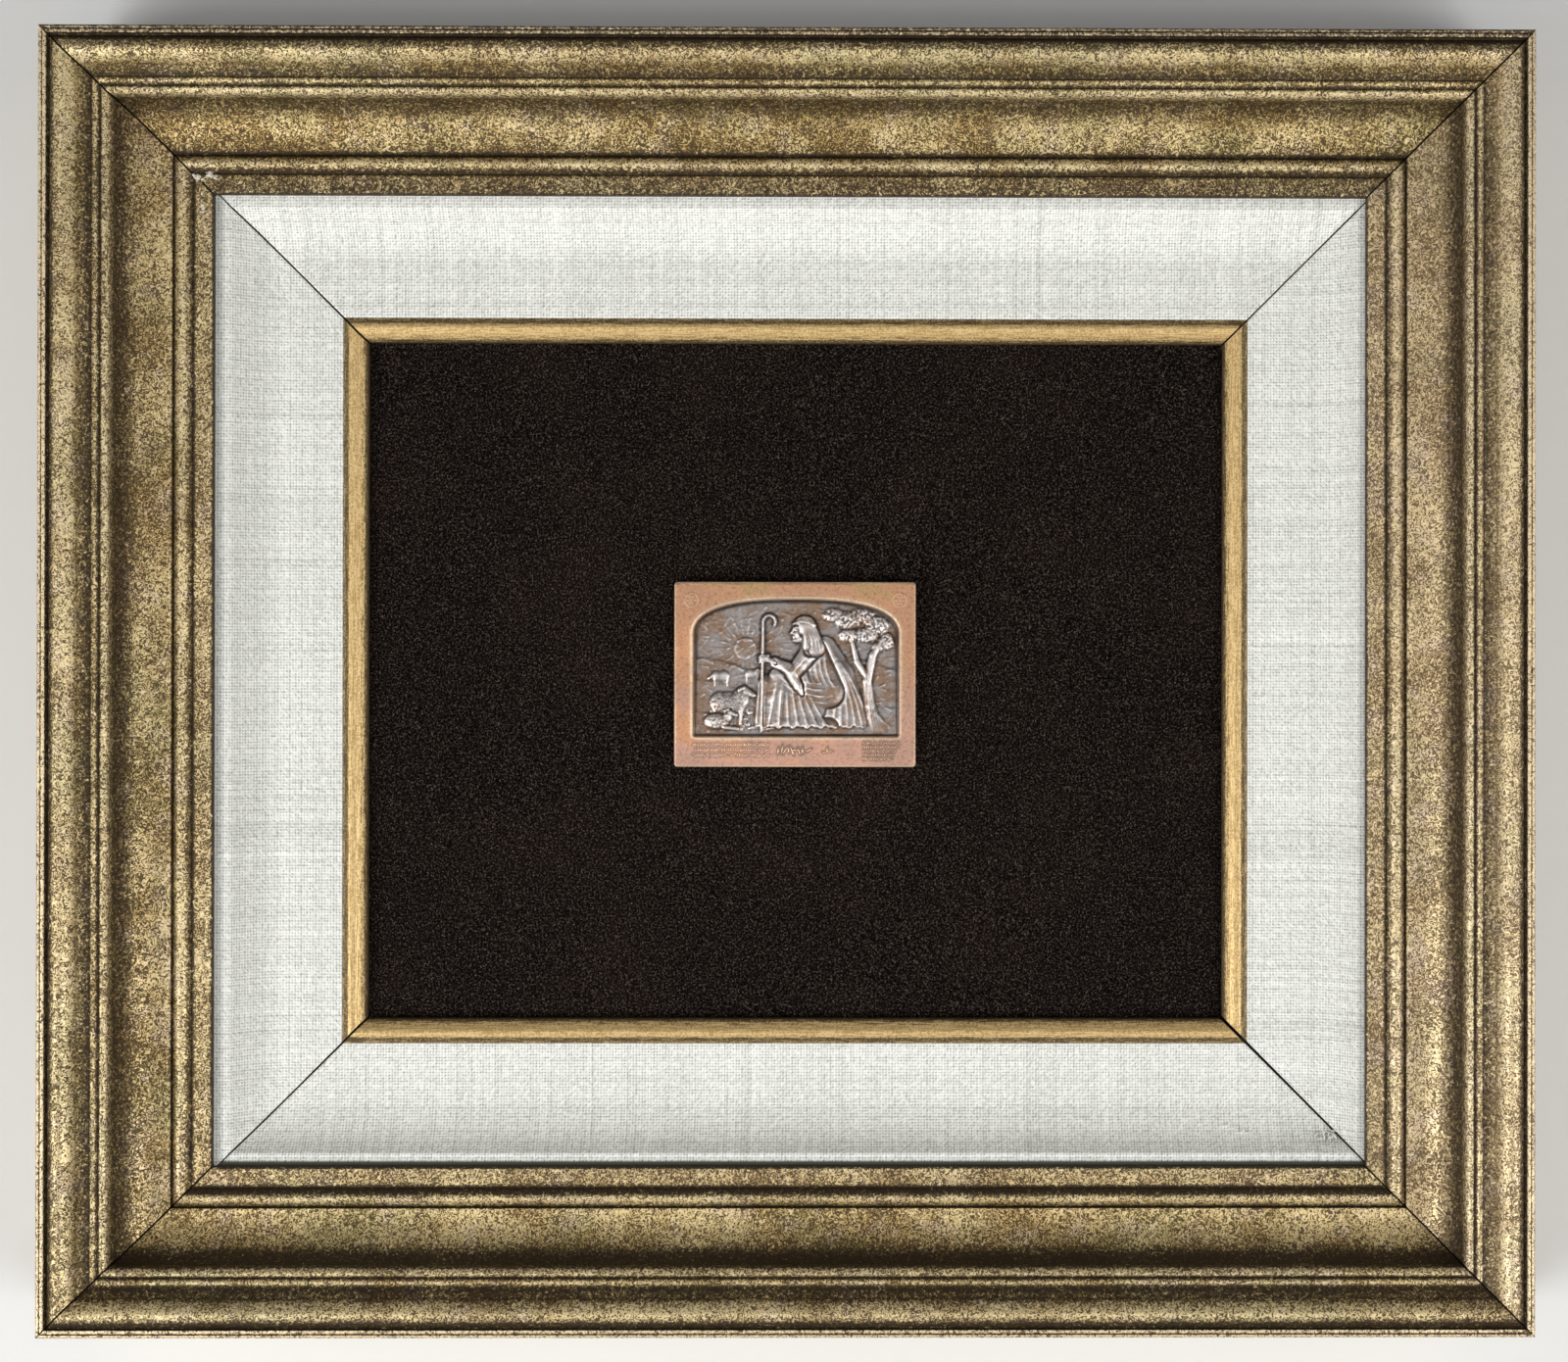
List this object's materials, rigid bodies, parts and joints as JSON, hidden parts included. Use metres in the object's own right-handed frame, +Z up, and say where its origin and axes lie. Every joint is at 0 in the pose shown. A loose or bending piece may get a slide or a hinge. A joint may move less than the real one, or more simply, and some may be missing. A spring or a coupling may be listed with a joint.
{
  "type": "framed relief plaque",
  "caption": "Small bronze relief plaque with a sunk arched field on dark velvet, in a linen-covered liner with a gilt lip, inside a deep mitred gold wooden frame that hangs on a wall.",
  "frame": {"origin": "on the flat back of the top rail, at its middle, where the frame lies against the wall", "axes": "+Z up, +X to the viewer's right, the front faces -Y and +Y points into the wall"},
  "size_m": [0.4064, 0.0408, 0.3556],
  "materials": {
    "antique_gold": "rubbed antique gold leaf over brown, speckled, satin",
    "gilt_lip": "satin gold paint, rubbed on the edges",
    "linen": "off-white plain-weave linen with slubs, matt",
    "velvet": "very dark brown velvet, short pile",
    "board": "bare brown hardboard, matt",
    "bronze": "copper-brown patinated bronze, rubbed bright on the high points, dark grey in the hollows"
  },
  "bodies": {
    "root": {"frame_rail_top": "antique_gold", "frame_rail_right": "antique_gold", "frame_rail_bottom": "antique_gold", "frame_rail_left": "antique_gold", "liner_rail_top": "gilt_lip", "liner_rail_right": "gilt_lip", "liner_rail_bottom": "gilt_lip", "liner_rail_left": "gilt_lip", "linen_top": "linen", "linen_right": "linen", "linen_bottom": "linen", "linen_left": "linen", "velvet_ground": "velvet", "mounting_board": "board", "bronze_plaque": "bronze"}
  },
  "joints": []
}
